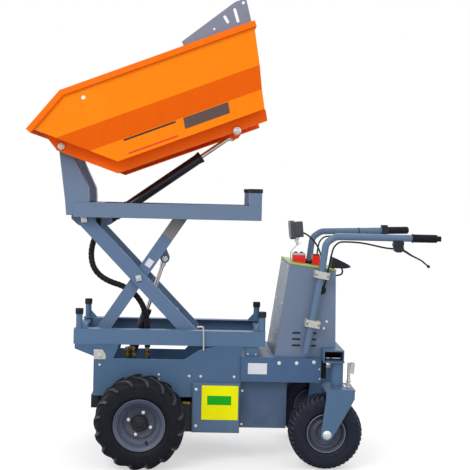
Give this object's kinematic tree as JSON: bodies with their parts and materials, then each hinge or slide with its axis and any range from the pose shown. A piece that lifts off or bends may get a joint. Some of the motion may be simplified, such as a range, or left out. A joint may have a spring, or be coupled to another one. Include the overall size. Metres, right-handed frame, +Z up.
{
  "type": "tipping skip dumper on a scissor lift",
  "caption": "Walk-behind battery site dumper: tipping skip raised on a scissor lift, driven front wheels, swivel rear casters, console and handlebars.",
  "frame": {"origin": "centre of the machine's footprint on the ground, under the middle of its bounding box", "axes": "+Z up, front (skip spout) towards -X, operator towards +X, machine's left side towards -Y"},
  "size_m": [1.8824, 0.75, 2.097],
  "materials": {
    "body_paint": "semi-gloss powder coat",
    "skip_paint": "semi-gloss powder coat",
    "tyre": "matt",
    "rim_paint": "satin",
    "black_metal": "gloss black",
    "steel": "zinc plated",
    "chrome": "polished",
    "rubber": "matt",
    "black_plastic": "matt",
    "red_plastic": "gloss",
    "panel_yellow": "satin",
    "hose": "satin"
  },
  "bodies": {
    "root": {"bar_clamps": "steel", "battery_boxes": "body_paint", "brake_lever": "black_plastic", "caster_beam": "body_paint", "chassis_ends": "body_paint", "chassis_floor": "body_paint", "chassis_sides": "body_paint", "console_body": "body_paint", "console_top": "panel_yellow", "control_cables": "black_plastic", "display": "black_plastic", "drive_unit": "black_metal", "front_bar": "black_metal", "front_gussets": "body_paint", "grips": "rubber", "handlebars": "body_paint", "lamp": "black_plastic", "lamp_bracket": "black_plastic", "lift_bracket": "body_paint", "lift_hose": "hose", "lower_rails": "body_paint", "lower_ties": "body_paint", "manifold": "steel", "pivot_brackets": "body_paint", "pivot_tubes": "body_paint", "post_caps": "rubber", "posts": "body_paint", "rail_feet": "body_paint", "rear_frame": "body_paint", "red_switches": "red_plastic", "side_covers": "body_paint", "thumb_switch": "black_plastic"},
    "inner_arms": {"inner_arms": "body_paint", "inner_rollers": "steel"},
    "outer_arms": {"outer_arms": "body_paint", "outer_rollers": "steel"},
    "platform": {"platform_rails": "body_paint", "platform_ties": "body_paint", "hanging_brackets": "body_paint", "tip_posts": "body_paint", "rest_stubs": "body_paint", "rest_pads": "rubber"},
    "skip": {"skip_tub": "skip_paint", "skip_rim": "skip_paint", "skip_frame": "skip_paint", "spill_guard": "body_paint"},
    "lift_cylinder": {"lift_barrel": "black_metal"},
    "lift_piston": {"lift_rod": "chrome"},
    "tip_cylinder": {"tip_barrel": "black_metal"},
    "tip_piston": {"tip_rod": "chrome"},
    "left_drive_wheel": {"left_drive_tyre": "tyre", "left_drive_rim": "rim_paint"},
    "right_drive_wheel": {"right_drive_tyre": "tyre", "right_drive_rim": "rim_paint"},
    "left_fork": {"left_caster_fork": "body_paint"},
    "right_fork": {"right_caster_fork": "body_paint"},
    "left_caster_wheel": {"left_caster_tyre": "tyre", "left_caster_rim": "rim_paint"},
    "right_caster_wheel": {"right_caster_tyre": "tyre", "right_caster_rim": "rim_paint"}
  },
  "joints": [
    {"name": "lift", "type": "hinge", "parent": "root", "child": "inner_arms", "pos_m": [-0.65178, 0, 0.528], "axis": [0, 1, 0], "range_deg": [0, 40.4], "deforming": ["lift_hose"]},
    {"name": "scissor_cross", "type": "hinge", "parent": "inner_arms", "child": "outer_arms", "pos_m": [-0.44537, 0, 0.83749], "axis": [0, 1, 0], "range_deg": [-90, 0]},
    {"name": "platform_level", "type": "hinge", "parent": "outer_arms", "child": "platform", "pos_m": [-0.70425, 0, 1.10463], "axis": [0, 1, 0], "range_deg": [0, 45]},
    {"name": "tip", "type": "hinge", "parent": "platform", "child": "skip", "pos_m": [-0.80154, 0, 1.43715], "axis": [0, -1, 0], "range_deg": [-21.1, 39]},
    {"name": "lift_cylinder_swing", "type": "hinge", "parent": "root", "child": "lift_cylinder", "pos_m": [-0.48878, 0, 0.431], "axis": [0, 1, 0], "range_deg": [0, 60]},
    {"name": "lift_rod_slide", "type": "slide", "parent": "lift_cylinder", "child": "lift_piston", "axis": [0.3098, 0, 0.9508], "range_m": [-0.16, 0]},
    {"name": "tip_cylinder_swing", "type": "hinge", "parent": "platform", "child": "tip_cylinder", "pos_m": [-0.60678, 0, 1.1], "axis": [0, -1, 0], "range_deg": [-25, 45]},
    {"name": "tip_rod_slide", "type": "slide", "parent": "tip_cylinder", "child": "tip_piston", "axis": [0.815, 0, 0.5794], "range_m": [-0.16, 0.28]},
    {"name": "left_drive_spin", "type": "hinge", "parent": "root", "child": "left_drive_wheel", "pos_m": [-0.41728, -0.2925, 0.205], "axis": [0, 1, 0], "continuous": true},
    {"name": "left_swivel", "type": "hinge", "parent": "root", "child": "left_fork", "pos_m": [0.47422, -0.25, 0.375], "axis": [0, 0, 1], "continuous": true},
    {"name": "left_caster_spin", "type": "hinge", "parent": "left_fork", "child": "left_caster_wheel", "pos_m": [0.42422, -0.25, 0.167], "axis": [0, 1, 0], "continuous": true},
    {"name": "right_drive_spin", "type": "hinge", "parent": "root", "child": "right_drive_wheel", "pos_m": [-0.41728, 0.2925, 0.205], "axis": [0, 1, 0], "continuous": true},
    {"name": "right_swivel", "type": "hinge", "parent": "root", "child": "right_fork", "pos_m": [0.47422, 0.25, 0.375], "axis": [0, 0, 1], "continuous": true},
    {"name": "right_caster_spin", "type": "hinge", "parent": "right_fork", "child": "right_caster_wheel", "pos_m": [0.42422, 0.25, 0.167], "axis": [0, 1, 0], "continuous": true}
  ],
  "couplings": [
    {"joint": "scissor_cross", "follows": "lift", "ratio": -1.9141},
    {"joint": "platform_level", "follows": "lift", "ratio": 0.91406},
    {"joint": "lift_cylinder_swing", "follows": "lift", "ratio": 1.0626},
    {"joint": "lift_rod_slide", "follows": "lift", "m_per_rad": -0.18365},
    {"joint": "tip_cylinder_swing", "follows": "tip", "ratio": 0.885},
    {"joint": "tip_rod_slide", "follows": "tip", "m_per_rad": 0.366}
  ]
}
